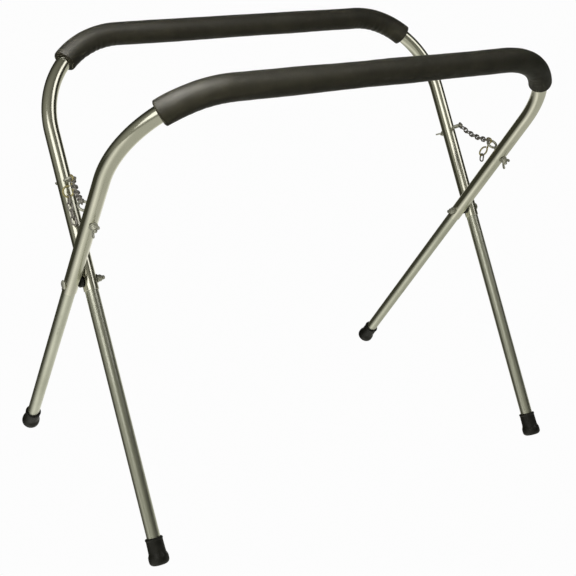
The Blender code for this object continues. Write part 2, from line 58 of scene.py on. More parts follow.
# ---------------------------------------------------------------- sizes
PIVOT_HEIGHT = JOINTS["fold"]["pos_m"][2]
LEG_LEAN = math.radians(32.7)
PIVOT_TO_BAR = 0.468
CORNER_RADIUS = 0.182
UPPER_TUBE_R = 0.0143
LOWER_TUBE_R = 0.0127
TUBE_WALL = 0.0013
TUBE_RIM = 0.0003             # rounding of a tube's cut edge
UPPER_TAIL = 0.020            # upper tube carries on this far below the pivot axis
LOWER_PLUG = 0.060            # lower leg reaches this far up inside the upper tube
OUTBOARD_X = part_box("front_left_leg")[0].x + LOWER_TUBE_R
INBOARD_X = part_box("front_right_leg")[1].x - LOWER_TUBE_R
MIDDLE_X = (OUTBOARD_X + INBOARD_X) / 2
BAR_HALF = (INBOARD_X - OUTBOARD_X) / 2 - CORNER_RADIUS
FRAME_STEP = -2 * MIDDLE_X    # from one frame's legs to the other's, across a pivot
GAP = 0.0003                  # between neighbours that touch on the real stand

PAD_R = 0.0225
PAD_END_ANGLES = {
    "front": (math.radians(40), math.radians(53)),
    "rear": (math.radians(43), math.radians(43)),
}
PAD_LUMP = 0.0009             # long swells of the foam
PAD_RIPPLE = 0.0003           # short ones
PAD_WRINKLE = 0.0004          # wrinkles inside a bend, and how far they sink in
PAD_PINCH = 0.0006
PAD_BEND_MIDDLE = 0.075       # where the wrinkles are, from a pad's end
PAD_BEND_REACH = 0.085
PAD_ROUNDING = 0.0034         # of the two ends
PAD_LIP = 0.80                # of the outside radius, where the end face begins
PAD_STEP = 0.0014

FOOT_TILT_LIFT = 0.0057       # middle of a foot's base above the floor
FOOT_BASE_Z = -(PIVOT_HEIGHT - FOOT_TILT_LIFT) / math.cos(LEG_LEAN)
FOOT_FLOOR = 0.0080           # rubber under the end of the leg
LEG_END_Z = FOOT_BASE_Z + FOOT_FLOOR + 2 * GAP
FOOT_BASE_R = 0.0190
FOOT_TOP_R = 0.0162
FOOT_LENGTH = 0.050
FOOT_ROUNDING = 0.0080

THREAD_PITCH = 0.0012
THREAD_DEPTH = 0.00022
WASHER_R = 0.0085
WASHER_THICKNESS = 0.0014
PIVOT_SHANK_R = 0.00397
PIVOT_TIP = 0.0056            # bolt showing past its nut
DOME_R = 0.0090
DOME_HEIGHT = 0.0042
PIVOT_NUT_FLAT = 0.0127
NUT_HEIGHT = 0.0066
NUT_COLLAR_R = 0.0053
NUT_COLLAR_HEIGHT = 0.0024
SPACER_R = 0.0110

EYE_STATION = 0.185           # along a leg, above the pivot axis
EYE_SHANK_R = 0.0030
EYE_WIRE_R = 0.0025
EYE_RING_R = 0.0100
EYE_CENTRE = 0.0300           # from the leg's centre line
EYE_TURN = math.radians(346)  # how far round the bent eye goes
EYE_TIP = 0.0035              # bolt showing past its wing nut
WING_BASE_HEIGHT = 0.0080
WING_SPAN = 0.0290
WING_TOP = 0.0150

CHAIN_WIRE_R = 0.0015
CHAIN_WIDTH = 0.0120
WELD_SWELL = 0.12             # of the wire's radius
WELD_LENGTH = 0.0012
HOOK_WIRE_R = 0.00175
HOOK_RING_R = 0.0100
HOOK_DROP = 0.0240            # from the eye's wire down to the ring's centre
HOOK_TILT = math.radians(12)
HOOK_LOOP_R = EYE_WIRE_R + HOOK_WIRE_R + 2 * GAP
HOOK_SEAT = EYE_WIRE_R + CHAIN_WIRE_R + GAP

TUBE_SIDES = 48
PAD_SIDES = 64
NUT_SIDES = 48
BOLT_SIDES = 32
BEND_STEPS = 36               # in a quarter turn

# the camera, from the fit to the photograph
VIEW_AZIMUTH = math.radians(-31.58)
VIEW_ELEVATION = math.radians(25.08)
VIEW_ROLL = math.radians(1.926)
VIEW_DISTANCE = 2.0425
VIEW_TARGET = Vector((-0.1288, 0.0, 0.3177))
VIEW_LENS = 61.92
VIEW_SHIFT = (0.0879, 0.0450)

# the studio; the tubes mostly reflect a strip softbox at the front left
STRIP_AZIMUTH = math.radians(-57)
STRIP_DISTANCE = 3.0
STRIP_HEIGHT = 2.40
STRIP_BEARING = Vector((math.sin(STRIP_AZIMUTH), -math.cos(STRIP_AZIMUTH), 0))
LIGHT_AIM = Vector((0, 0, 0.5))
LIGHT_COLOUR = (1.0, 0.985, 0.94)
FLOOR_HALF = 12
FLOOR_DROP = 0.0005


# ---------------------------------------------------------------- node materials
class Graph:
    """A node tree with short helpers for the nodes used here."""

    def __init__(self, tree):
        self.tree = tree

    def link(self, source, target):
        self.tree.links.new(source, target)

    def remap(self, value, low_in, high_in, low_out, high_out):
        node = self.tree.nodes.new("ShaderNodeMapRange")
        for name, number in (("From Min", low_in), ("From Max", high_in),
                             ("To Min", low_out), ("To Max", high_out)):
            node.inputs[name].default_value = number
        self.link(value, node.inputs["Value"])
        return node.outputs["Result"]

    def mix(self, factor, first, second):
        """A colour between two, each a colour or another node's output."""
        # a mix node's colour sockets are its inputs 6 and 7 and its output 2
        node = self.tree.nodes.new("ShaderNodeMix")
        node.data_type = "RGBA"
        self.link(factor, node.inputs["Factor"])
        for socket, colour in ((node.inputs[6], first), (node.inputs[7], second)):
            if isinstance(colour, tuple):
                socket.default_value = (*colour, 1.0)
            else:
                self.link(colour, socket)
        return node.outputs[2]

    def dot(self, vector, axis):
        node = self.tree.nodes.new("ShaderNodeVectorMath")
        node.operation = "DOT_PRODUCT"
        node.inputs[1].default_value = axis
        self.link(vector, node.inputs[0])
        return node.outputs["Value"]


class Nodes(Graph):
    """A material's node tree, with its patterns fixed to the piece."""

    def __init__(self, name):
        self.material = bpy.data.materials.new(name)
        self.material.use_nodes = True
        super().__init__(self.material.node_tree)
        self.shader = self.tree.nodes["Principled BSDF"]
        self.coords = self.tree.nodes.new("ShaderNodeTexCoord").outputs["Object"]

    def scaled(self, scale):
        node = self.tree.nodes.new("ShaderNodeMapping")
        node.inputs["Scale"].default_value = scale
        self.link(self.coords, node.inputs["Vector"])
        return node.outputs["Vector"]

    def noise(self, scale, detail=4.0, stretch=(1, 1, 1), roughness=0.55):
        node = self.tree.nodes.new("ShaderNodeTexNoise")
        node.inputs["Scale"].default_value = scale
        node.inputs["Detail"].default_value = detail
        node.inputs["Roughness"].default_value = roughness
        self.link(self.scaled(stretch), node.inputs["Vector"])
        return node.outputs["Fac"]

    def cells(self, scale):
        node = self.tree.nodes.new("ShaderNodeTexVoronoi")
        node.inputs["Scale"].default_value = scale
        self.link(self.coords, node.inputs["Vector"])
        return node.outputs["Distance"]

    def add(self, first, second):
        node = self.tree.nodes.new("ShaderNodeMath")
        self.link(first, node.inputs[0])
        self.link(second, node.inputs[1])
        return node.outputs["Value"]

    def bump(self, height, distance, strength):
        node = self.tree.nodes.new("ShaderNodeBump")
        node.inputs["Distance"].default_value = distance
        node.inputs["Strength"].default_value = strength
        self.link(height, node.inputs["Height"])
        self.link(node.outputs["Normal"], self.shader.inputs["Normal"])

    def set(self, **values):
        """Sets the shader's inputs to numbers, colours or other nodes' outputs."""
        for name, value in values.items():
            socket = self.shader.inputs[name.replace("_", " ")]
            if isinstance(value, tuple):
                socket.default_value = (*value, 1.0)
            elif isinstance(value, float):
                socket.default_value = value
            else:
                self.link(value, socket)


def plated_tube(name, light, dark, rough_low, rough_high):
    """Plated steel: draw lines along the tube, cloudy plating and a few duller rubs."""
    nodes = Nodes(name)
    lines = nodes.noise(900, 3, (1, 1, 0.02))
    cloud = nodes.noise(14, 5, (1, 1, 0.5))
    rubs = nodes.noise(60, 6, (1, 1, 0.25), 0.7)
    colour = nodes.mix(nodes.remap(cloud, 0.35, 0.70, 0, 1), light, dark)
    worn = nodes.mix(nodes.remap(rubs, 0.62, 0.74, 0, 0.55), colour, (0.30, 0.30, 0.26))
    rough = nodes.add(
        nodes.remap(cloud, 0.3, 0.7, rough_low, rough_high),
        nodes.remap(rubs, 0.58, 0.75, 0, 0.16),
    )
    nodes.set(Base_Color=worn, Metallic=1.0, Roughness=rough)
    nodes.bump(nodes.add(lines, nodes.remap(rubs, 0.5, 0.8, 0, 0.5)), 0.00004, 0.5)
    return nodes.material


def small_metal(name, light, dark, rough_low, rough_high, grain=260):
    """Plated fasteners and wire: patchy plating, with darker and duller spots."""
    nodes = Nodes(name)
    patch = nodes.noise(grain, 5)
    fine = nodes.noise(2400, 3)
    colour = nodes.mix(nodes.remap(patch, 0.35, 0.68, 0, 1), light, dark)
    rough = nodes.remap(patch, 0.3, 0.7, rough_low, rough_high)
    nodes.set(Base_Color=colour, Metallic=0.78, Roughness=rough)
    nodes.bump(nodes.add(fine, patch), 0.00006, 0.5)
    return nodes.material


def foam_material():
    """Closed-cell foam: fine pores with painted shade in their pits, a faint skin sheen and rubbed paler patches.
    """
    nodes = Nodes("pad_foam")
    pores = nodes.cells(950)
    fine = nodes.noise(1900, 3)
    patch = nodes.noise(22, 6)
    rubbed = nodes.noise(70, 7, (0.4, 1, 1), 0.7)
    dark = (0.008, 0.0070, 0.0042)
    light = (0.017, 0.0158, 0.0100)
    base = nodes.mix(nodes.remap(patch, 0.3, 0.7, 0, 1), dark, light)
    scuffed = nodes.mix(nodes.remap(rubbed, 0.56, 0.78, 0, 0.55), base, (0.032, 0.032, 0.025))
    # painted shade: each pore's pit, where the bump sinks in, is coloured darker
    pore_shaded = nodes.mix(nodes.remap(pores, 0.05, 0.30, 0.6, 0), scuffed, (0.006, 0.005, 0.003))
    nodes.set(Base_Color=pore_shaded, Roughness=nodes.remap(rubbed, 0.4, 0.7, 0.54, 0.42))
    nodes.set(Specular_IOR_Level=0.16)
    nodes.set(Sheen_Weight=0.04, Sheen_Roughness=0.45, Sheen_Tint=(0.62, 0.66, 0.50))
    height = nodes.add(nodes.remap(pores, 0.0, 0.5, 0, 1), nodes.remap(fine, 0.3, 0.7, 0, 0.4))
    nodes.bump(nodes.add(height, nodes.remap(patch, 0.3, 0.7, 0, 1.2)), 0.0005, 0.28)
    return nodes.material


def moulded_material(name, dark, light, roughness):
    """Moulded rubber or plastic: fine grain, dusty paler patches."""
    nodes = Nodes(name)
    grain = nodes.noise(1500, 3)
    dust = nodes.noise(45, 6)
    colour = nodes.mix(nodes.remap(dust, 0.48, 0.72, 0, 1), dark, light)
    rough = nodes.remap(dust, 0.3, 0.7, roughness - 0.08, roughness + 0.1)
    nodes.set(Base_Color=colour, Roughness=rough)
    nodes.bump(grain, 0.00012, 0.6)
    return nodes.material


MATERIALS = {
    "bright_tube": plated_tube(
        "bright_tube_plating", (0.80, 0.79, 0.70), (0.66, 0.66, 0.57), 0.13, 0.24
    ),
    "satin_tube": plated_tube(
        "satin_tube_plating", (0.74, 0.75, 0.66), (0.63, 0.64, 0.55), 0.28, 0.40
    ),
    "foam": foam_material(),
    "rubber": moulded_material(
        "foot_rubber", (0.004, 0.004, 0.003), (0.011, 0.011, 0.009), 0.46
    ),
    "plastic": moulded_material(
        "spacer_nylon", (0.016, 0.018, 0.015), (0.034, 0.036, 0.031), 0.42
    ),
    "zinc": small_metal("fastener_zinc", (0.62, 0.62, 0.54), (0.40, 0.40, 0.34), 0.26, 0.42),
    "brass": small_metal("hook_brass", (0.60, 0.53, 0.27), (0.38, 0.33, 0.15), 0.28, 0.44),
    "chain_zinc": small_metal(
        "chain_zinc_plating", (0.42, 0.40, 0.38), (0.22, 0.21, 0.19), 0.34, 0.52, 420
    ),
}


# ---------------------------------------------------------------- mesh helpers
def circle(radius, sides):
    angles = [2 * math.pi * i / sides for i in range(sides)]
    return [Vector((radius * math.cos(a), radius * math.sin(a), 0)) for a in angles]


def hexagon(flat, sides, corner=1.0):
    """A hexagon's outline; a corner below 1 cuts the corners back towards a circle."""
    full_corner = 0.0774 * flat
    points = []
    for i in range(sides):
        angle = 2 * math.pi * i / sides
        from_flat = (angle + math.pi / 6) % (math.pi / 3) - math.pi / 6
        radius = flat / 2 / math.cos(from_flat)
        radius = min(radius, flat / 2 + corner * full_corner)
        points.append(Vector((radius * math.cos(angle), radius * math.sin(angle), 0)))
    return points


def lift(outline, height):
    return [point + Vector((0, 0, height)) for point in outline]


def add_rings(bm, rings, closed=False):
    """Faces between each ring and the next, with flat ends unless closed."""
    rows = [[bm.verts.new(point) for point in ring] for ring in rings]
    count = len(rows[0])
    for i in range(len(rows) if closed else len(rows) - 1):
        here = rows[i]
        there = rows[(i + 1) % len(rows)]
        for j in range(count):
            k = (j + 1) % count
            bm.faces.new((here[j], here[k], there[k], there[j]))
    if not closed:
        bm.faces.new(rows[0][::-1])
        bm.faces.new(rows[-1])


def arc(centre, radius, first, second, start, stop, steps):
    """Points on a circle, with angles measured from first towards second."""
    points = []
    for i in range(steps + 1):
        a = start + (stop - start) * i / steps
        points.append(centre + first * radius * math.cos(a) + second * radius * math.sin(a))
    return points


def path_frames(points, closed, normal):
    """Untwisted (point, tangent, side, other side) along a path."""
    count = len(points)
    steps = [(points[(i + 1) % count] - points[i]).normalized() for i in range(count)]
    tangents = []
    for i in range(count):
        before = steps[i - 1] if closed or i > 0 else steps[0]
        after = steps[i] if closed or i < count - 1 else steps[i - 1]
        tangents.append((before + after).normalized())
    side = normal if normal is not None else tangents[0].orthogonal()
    side = (side - tangents[0] * side.dot(tangents[0])).normalized()
    frames = []
    for i, tangent in enumerate(tangents):
        if i:
            side = tangents[i - 1].rotation_difference(tangent) @ side
            side = (side - tangent * side.dot(tangent)).normalized()
        frames.append((points[i], tangent, side, tangent.cross(side)))
    return frames


def sweep(points, radius, sides, closed=False, normal=None):
    """Rings along a path; radius is a number or a function of (step, angle)."""
    rings = []
    frames = path_frames(points, closed, normal)
    for i, (point, _tangent, side, other) in enumerate(frames):
        ring = []
        for j in range(sides):
            a = 2 * math.pi * j / sides
            r = radius(i, a) if callable(radius) else radius
            ring.append(point + side * r * math.cos(a) + other * r * math.sin(a))
        rings.append(ring)
    return rings


def smooth_path(points):
    """Rounds a path's corners by cutting them twice, keeping its two ends."""
    for _ in range(2):
        cut = [points[0]]
        for a, b in zip(points, points[1:]):
            cut.append(a.lerp(b, 0.25))
            cut.append(a.lerp(b, 0.75))
        cut.append(points[-1])
        points = cut
    return points


def turned(bm, profile, sides, closed=False):
    """A body turned about Z from (radius, height) points; an axis point is a tiny ring."""
    add_rings(bm, [lift(circle(max(r, 1e-5), sides), h) for r, h in profile], closed)


def make_piece(name, build, slot, body, nodes, matrix, sharp=35):
    """One finished piece: built by build(bm) in matrix's frame, then riding on a body."""
    bm = bmesh.new()
    build(bm)
    bmesh.ops.recalc_face_normals(bm, faces=bm.faces)
    mesh = bpy.data.meshes.new(name)
    bm.to_mesh(mesh)
    bm.free()
    mesh.shade_smooth()
    mesh.set_sharp_from_angle(angle=math.radians(sharp))
    mesh.materials.append(MATERIALS[slot])
    obj = bpy.data.objects.new(name, mesh)
    bpy.context.collection.objects.link(obj)
    obj.matrix_world = matrix
    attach(obj, body)
    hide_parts(*nodes)
    return obj


def along(axis, origin):
    """A placing that turns Z along the axis."""
    turn = Vector((0, 0, 1)).rotation_difference(axis).to_matrix().to_4x4()
    return Matrix.Translation(origin) @ turn


# ---------------------------------------------------------------- tube frames
FRAME_PLACES = {
    "front": Matrix.Translation((0, 0, PIVOT_HEIGHT)) @ Matrix.Rotation(LEG_LEAN, 4, "X"),
    "rear": Matrix.Translation((0, 0, PIVOT_HEIGHT)) @ Matrix.Rotation(math.pi, 4, "Z")
    @ Matrix.Rotation(LEG_LEAN, 4, "X"),
}
LEG_SIDES = {"front": ("left", "right"), "rear": ("right", "left")}  # outboard, inboard


def corner_bend(direction, reach=math.pi / 2):
    """Points round a corner from the bar's end down to an angle."""
    centre = Vector((MIDDLE_X + direction * BAR_HALF, 0, PIVOT_TO_BAR - CORNER_RADIUS))
    steps = max(6, round(BEND_STEPS * reach / (math.pi / 2)))
    outwards = Vector((direction, 0, 0))
    return arc(centre, CORNER_RADIUS, Vector((0, 0, 1)), outwards, 0, reach, steps)


def tube_shell(bm, points, outer):
    """An open tube with slightly rounded rims."""
    first = points[0] + (points[1] - points[0]).normalized() * TUBE_RIM
    last = points[-1] + (points[-2] - points[-1]).normalized() * TUBE_RIM
    path = [points[0], first] + points[1:-1] + [last, points[-1]]
    outside = sweep(path, outer, TUBE_SIDES, normal=Vector((0, 1, 0)))
    inside = sweep(path, outer - TUBE_WALL, TUBE_SIDES, normal=Vector((0, 1, 0)))
    for rings, shrink in ((outside, -TUBE_RIM), (inside, TUBE_RIM)):
        for ring in (rings[0], rings[-1]):
            middle = sum(ring, Vector()) / len(ring)
            for point in ring:
                point += (point - middle).normalized() * shrink
    add_rings(bm, outside + inside[::-1], closed=True)


def add_upper_tube(prefix):
    """The bent tube: two short tails, two corner bends and the bar between them."""
    def build(bm):
        path = [Vector((OUTBOARD_X, 0, -UPPER_TAIL))]
        path += corner_bend(-1)[::-1]
        path += corner_bend(1)
        path.append(Vector((INBOARD_X, 0, -UPPER_TAIL)))
        tube_shell(bm, path, UPPER_TUBE_R)

    make_piece(f"{prefix}_upper_tube_finish", build, "bright_tube", f"{prefix}_frame",
               [f"{prefix}_upper_tube"], FRAME_PLACES[prefix])


def add_lower_leg(prefix, side, leg_x):
    def build(bm):
        path = [Vector((leg_x, 0, height)) for height in (LEG_END_Z, LOWER_PLUG)]
        tube_shell(bm, path, LOWER_TUBE_R)

    make_piece(f"{prefix}_{side}_leg_finish", build, "satin_tube", f"{prefix}_frame",
               [f"{prefix}_{side}_leg"], FRAME_PLACES[prefix])


def pad_radius(length_along, total, inward, seed):
    """Foam radius: lumps everywhere, and pinched wrinkles inside each corner bend."""
    lump = PAD_LUMP * noise.noise(Vector((length_along * 9, inward * 1.3, seed)))
    ripple = PAD_RIPPLE * noise.noise(Vector((length_along * 45, inward * 3, seed + 9)))
    edge = min(length_along, total - length_along)
    in_bend = max(0.0, 1 - abs(edge - PAD_BEND_MIDDLE) / PAD_BEND_REACH)
    facing = max(0.0, inward) ** 2
    unevenness = noise.noise(Vector((length_along * 30, 0, seed)))
    wrinkle = PAD_WRINKLE * math.sin(length_along * 420 + 2.5 * unevenness)
    pinch = (wrinkle - PAD_PINCH) * in_bend * facing
    end = max(0.0, PAD_ROUNDING - edge)
    drop = PAD_ROUNDING - math.sqrt(max(0.0, PAD_ROUNDING ** 2 - end ** 2))
    return PAD_R + lump + ripple + pinch - drop


def even_path(points, spacing):
    """The same path with points at an even spacing."""
    result = [points[0]]
    left_over = 0.0
    for a, b in zip(points, points[1:]):
        step = (b - a).length
        reach = spacing - left_over
        while reach <= step:
            result.append(a.lerp(b, reach / step))
            reach += spacing
        left_over = step - (reach - spacing)
    if (result[-1] - points[-1]).length > spacing * 0.3:
        result.append(points[-1])
    else:
        result[-1] = points[-1]
    return result


def add_pad(prefix, seed):
    """A foam sleeve along the bar and round part of each corner bend."""
    left, right = PAD_END_ANGLES[prefix]
    path = even_path(corner_bend(-1, left)[::-1] + corner_bend(1, right), PAD_STEP)
    lengths = [0.0]
    for a, b in zip(path, path[1:]):
        lengths.append(lengths[-1] + (b - a).length)

    def build(bm):
        def outer(i, angle):
            # the swept side is +Y and the other side points inside the bend
            return pad_radius(lengths[i], lengths[-1], -math.sin(angle), seed)

        normal = Vector((0, 1, 0))
        outside = sweep(path, outer, PAD_SIDES, normal=normal)
        ends = [path[0], path[1], path[-2], path[-1]]
        hole = sweep(ends, UPPER_TUBE_R + GAP, PAD_SIDES, normal=normal)
        lips = []
        for ring, axle in ((outside[0], path[0]), (outside[-1], path[-1])):
            lips.append([axle + (point - axle) * PAD_LIP for point in ring])
        add_rings(bm, [hole[0], lips[0]] + outside + [lips[1], hole[-1]])

    return make_piece(f"{prefix}_pad_finish", build, "foam", f"{prefix}_frame",
                      [f"{prefix}_pad"], FRAME_PLACES[prefix], sharp=60)


def add_foot(prefix, side, leg_x):
    """A slip-on rubber foot with a beaded lip and a flared base, worn flat on the floor."""
    base = FOOT_BASE_Z
    socket = LOWER_TUBE_R + GAP
    profile = [(0.0, base), (0.006, base)]
    for angle in range(0, 91, 9):
        turn = math.radians(angle)
        radius = FOOT_BASE_R - FOOT_ROUNDING * (1 - math.sin(turn))
        profile.append((radius, base + FOOT_ROUNDING * (1 - math.cos(turn))))
    profile += [
        (FOOT_BASE_R + 0.0001, base + 0.0120),
        (FOOT_BASE_R - 0.0002, base + 0.0160),
        (FOOT_BASE_R - 0.0012, base + 0.0185),
        (FOOT_TOP_R + 0.0004, base + 0.0215),
        (FOOT_TOP_R + 0.0001, base + 0.0260),
        (FOOT_TOP_R - 0.0003, base + FOOT_LENGTH - 0.0060),
        (FOOT_TOP_R - 0.0003, base + FOOT_LENGTH - 0.0050),
        (FOOT_TOP_R + 0.0005, base + FOOT_LENGTH - 0.0038),
        (FOOT_TOP_R + 0.0006, base + FOOT_LENGTH - 0.0022),
        (FOOT_TOP_R + 0.0001, base + FOOT_LENGTH - 0.0008),
        (FOOT_TOP_R - 0.0009, base + FOOT_LENGTH),
        (socket + 0.0008, base + FOOT_LENGTH),
        (socket, base + FOOT_LENGTH - 0.0010),
        (socket, base + FOOT_FLOOR),
        (0.0, base + FOOT_FLOOR),
    ]
    place = FRAME_PLACES[prefix] @ Matrix.Translation((leg_x, 0, 0))
    to_floor = place.inverted()

    def build(bm):
        turned(bm, profile, TUBE_SIDES)
        for vert in bm.verts:
            world = place @ vert.co
            if world.z < 0:
                world.z = 0
                vert.co = to_floor @ world

    make_piece(f"{prefix}_{side}_foot_finish", build, "rubber", f"{prefix}_frame",
               [f"{prefix}_{side}_foot"], place, sharp=50)


# ---------------------------------------------------------------- fasteners
def threaded(start, stop, radius):
    """Profile points of a thread's ridges between two heights."""
    points = []
    turns = int((stop - start) / THREAD_PITCH)
    ridge = (stop - start) / turns
    for i in range(turns):
        points.append((radius - THREAD_DEPTH, start + ridge * i))
        points.append((radius, start + ridge * (i + 0.5)))
    return points


def add_pivot_hardware(side, prefix):
    """Carriage bolt, washer, lock nut and spacer on one pivot."""
    outwards = UPPER_TUBE_R + GAP
    hole = PIVOT_SHANK_R + GAP
    x = Vector((1, 0, 0))
    place = FRAME_PLACES[prefix]
    body = f"{prefix}_frame"
    seat = OUTBOARD_X + FRAME_STEP + outwards
    nut_top = NUT_HEIGHT + NUT_COLLAR_HEIGHT
    length = FRAME_STEP + 2 * outwards + WASHER_THICKNESS + nut_top + PIVOT_TIP

    def bolt(bm):
        profile = [(0.0, -DOME_HEIGHT)]
        for angle in range(8, 91, 8):
            turn = math.radians(angle)
            profile.append((DOME_R * math.sin(turn), -DOME_HEIGHT * math.cos(turn)))
        profile += [(DOME_R, -0.0002), (DOME_R - 0.0004, 0.0)]
        profile += [(PIVOT_SHANK_R, 0.0), (PIVOT_SHANK_R, length - 0.020)]
        profile += threaded(length - 0.019, length - 0.0008, PIVOT_SHANK_R)
        profile += [(PIVOT_SHANK_R - 0.0008, length), (0.0, length)]
        turned(bm, profile, BOLT_SIDES)

    def flat_washer(bm):
        profile = [(hole, 0.0), (WASHER_R - 0.0002, 0.0), (WASHER_R, 0.0003),
                   (WASHER_R - 0.0001, WASHER_THICKNESS), (hole, WASHER_THICKNESS)]
        turned(bm, profile, BOLT_SIDES, closed=True)

    def nut(bm):
        rings = [
            lift(circle(hole, NUT_SIDES), 0.0),
            lift(hexagon(PIVOT_NUT_FLAT, NUT_SIDES, 0.2), 0.0),
            lift(hexagon(PIVOT_NUT_FLAT, NUT_SIDES), 0.0006),
            lift(hexagon(PIVOT_NUT_FLAT, NUT_SIDES), NUT_HEIGHT - 0.0008),
            lift(hexagon(PIVOT_NUT_FLAT, NUT_SIDES, 0.15), NUT_HEIGHT),
            lift(circle(NUT_COLLAR_R + 0.0003, NUT_SIDES), NUT_HEIGHT + 0.0003),
            lift(circle(NUT_COLLAR_R, NUT_SIDES), nut_top - 0.0008),
            lift(circle(NUT_COLLAR_R - 0.0008, NUT_SIDES), nut_top),
            lift(circle(hole, NUT_SIDES), nut_top),
        ]
        add_rings(bm, rings, closed=True)

    def spacer(bm):
        width = FRAME_STEP - 2 * outwards
        profile = [(hole, 0.0), (SPACER_R - 0.0006, 0.0), (SPACER_R, 0.0006),
                   (SPACER_R, width - 0.0006), (SPACER_R - 0.0006, width), (hole, width)]
        turned(bm, profile, NUT_SIDES, closed=True)

    for kind, build, slot, offset in (
        ("bolt", bolt, "zinc", OUTBOARD_X - outwards),
        ("washer", flat_washer, "zinc", seat),
        ("nut", nut, "zinc", seat + WASHER_THICKNESS + GAP),
        ("spacer", spacer, "plastic", OUTBOARD_X + outwards),
    ):
        make_piece(f"{side}_pivot_{kind}_finish", build, slot, body, [f"{side}_pivot_{kind}"],
                   place @ along(x, Vector((offset, 0, 0))))


def add_eye_bolt(prefix, side, leg_x):
    """An eye bolt, with a ring of bent wire that nearly closes, and its washer."""
    tip = -(UPPER_TUBE_R + WASHER_THICKNESS + WING_BASE_HEIGHT + 2 * GAP + EYE_TIP)
    neck = EYE_CENTRE - EYE_RING_R
    place = FRAME_PLACES[prefix] @ along(Vector((0, 1, 0)), Vector((leg_x, 0, EYE_STATION)))
    x = Vector((1, 0, 0))
    z = Vector((0, 0, 1))

    def build(bm):
        profile = [(0.0, tip), (EYE_SHANK_R - 0.0008, tip)]
        profile += threaded(tip + 0.0006, tip + 0.0130, EYE_SHANK_R)
        profile += [(EYE_SHANK_R, tip + 0.0136), (EYE_SHANK_R, UPPER_TUBE_R + 0.001)]
        profile += [(EYE_WIRE_R, neck - 0.002), (EYE_WIRE_R * 0.9, neck)]
        turned(bm, profile, 24)
        ring = arc(Vector((0, 0, EYE_CENTRE)), EYE_RING_R, -z, x, 0, EYE_TURN, 48)
        add_rings(bm, sweep(ring, EYE_WIRE_R, 20, normal=Vector((0, 1, 0))))

    make_piece(f"{prefix}_{side}_eye_bolt_finish", build, "zinc", f"{prefix}_frame",
               [f"{prefix}_{side}_eye_bolt"], place)

    def flat_washer(bm):
        hole = EYE_SHANK_R + GAP
        profile = [(hole, 0.0), (WASHER_R - 0.0002, 0.0), (WASHER_R, 0.0003),
                   (WASHER_R - 0.0001, WASHER_THICKNESS - 0.0002),
                   (WASHER_R - 0.0004, WASHER_THICKNESS), (hole, WASHER_THICKNESS)]
        turned(bm, profile, 40, closed=True)

    seat = Vector((leg_x, -UPPER_TUBE_R - GAP, EYE_STATION))
    washer_place = FRAME_PLACES[prefix] @ along(Vector((0, -1, 0)), seat)
    make_piece(f"{prefix}_{side}_eye_washer_finish", flat_washer, "zinc", f"{prefix}_frame",
               [f"{prefix}_{side}_eye_washer"], washer_place)


def principal_axes(node):
    """A CAD node's centre and its long, middle and short directions, from its vertices."""
    points = np.array([vert.co for vert in frame["nodes"][node].data.vertices])
    centre = points.mean(0)
    rows = np.linalg.svd(points - centre, full_matrices=False)[2]
    return Vector(centre), [Vector(row) for row in rows]


def wing(bm, direction):
    """One ear of a wing nut: a plate with rounded edges."""
    tip = WING_SPAN / 2
    outline = [
        (0.0042, 0.0012), (0.0078, 0.0026), (0.0112, 0.0062), (tip - 0.0006, 0.0098),
        (tip, 0.0122), (tip - 0.0010, 0.0143), (tip - 0.0032, WING_TOP),
        (tip - 0.0055, 0.0140), (0.0078, 0.0098), (0.0056, 0.0078), (0.0042, 0.0068),
    ]
    edge = smooth_path([Vector((x, 0, z)) for x, z in outline])
    middle = sum(edge, Vector()) / len(edge)
    half_section = ((0.0013, 0.80), (0.0011, 0.93), (0.0005, 1.0))
    section = [(-y, shrink) for y, shrink in half_section] + list(half_section[::-1])
    rings = []
    for y, shrink in section:
        ring = []
        for point in edge:
            near = middle + (point - middle) * shrink
            ring.append(Vector((direction * near.x, y, near.z)))
        rings.append(ring)
    add_rings(bm, rings)


def add_wing_nut(prefix, side):
    """A wing nut, turned the way the CAD one was left."""
    name = f"{prefix}_{side}_wing_nut"
    joint = JOINTS[f"{name}_spin"]
    axis = Vector(joint["axis"])
    spread = principal_axes(name)[1][0]
    spread = (spread - axis * spread.dot(axis)).normalized()
    turn = Matrix((spread, axis.cross(spread), axis)).transposed().to_4x4()

    def build(bm):
        hole = EYE_SHANK_R + GAP
        profile = [
            (hole, 0.0), (0.0062, 0.0), (0.0064, 0.0004), (0.0063, 0.0016), (0.0054, 0.0050),
            (0.0050, WING_BASE_HEIGHT - 0.0006), (0.0045, WING_BASE_HEIGHT),
            (hole, WING_BASE_HEIGHT),
        ]
        turned(bm, profile, BOLT_SIDES, closed=True)
        wing(bm, 1)
        wing(bm, -1)

    place = Matrix.Translation(joint["pos_m"]) @ turn
    make_piece(f"{name}_finish", build, "zinc", name, [name], place)


# ---------------------------------------------------------------- chains and hooks
def link_body(bm, length):
    """A welded link; its weld is a slight swelling halfway along one side."""
    straight = length / 2 - CHAIN_WIDTH / 2
    bend = CHAIN_WIDTH / 2 - CHAIN_WIRE_R
    x = Vector((1, 0, 0))
    y = Vector((0, 1, 0))
    quarter = math.pi / 2
    stations = [straight * k / 4 for k in range(3, -4, -1)]
    path = arc(x * straight, bend, x, y, -quarter, quarter, 12)
    path += [Vector((station, bend, 0)) for station in stations]
    path += arc(-x * straight, bend, -x, -y, -quarter, quarter, 12)
    path += [Vector((station, -bend, 0)) for station in reversed(stations)]

    def wire(i, _angle):
        at = path[i]
        if at.y < 0 or abs(at.x) > straight:
            return CHAIN_WIRE_R
        return CHAIN_WIRE_R * (1 + WELD_SWELL * math.exp(-((at.x / WELD_LENGTH) ** 2)))

    add_rings(bm, sweep(path, wire, 14, closed=True, normal=Vector((0, 0, 1))), closed=True)


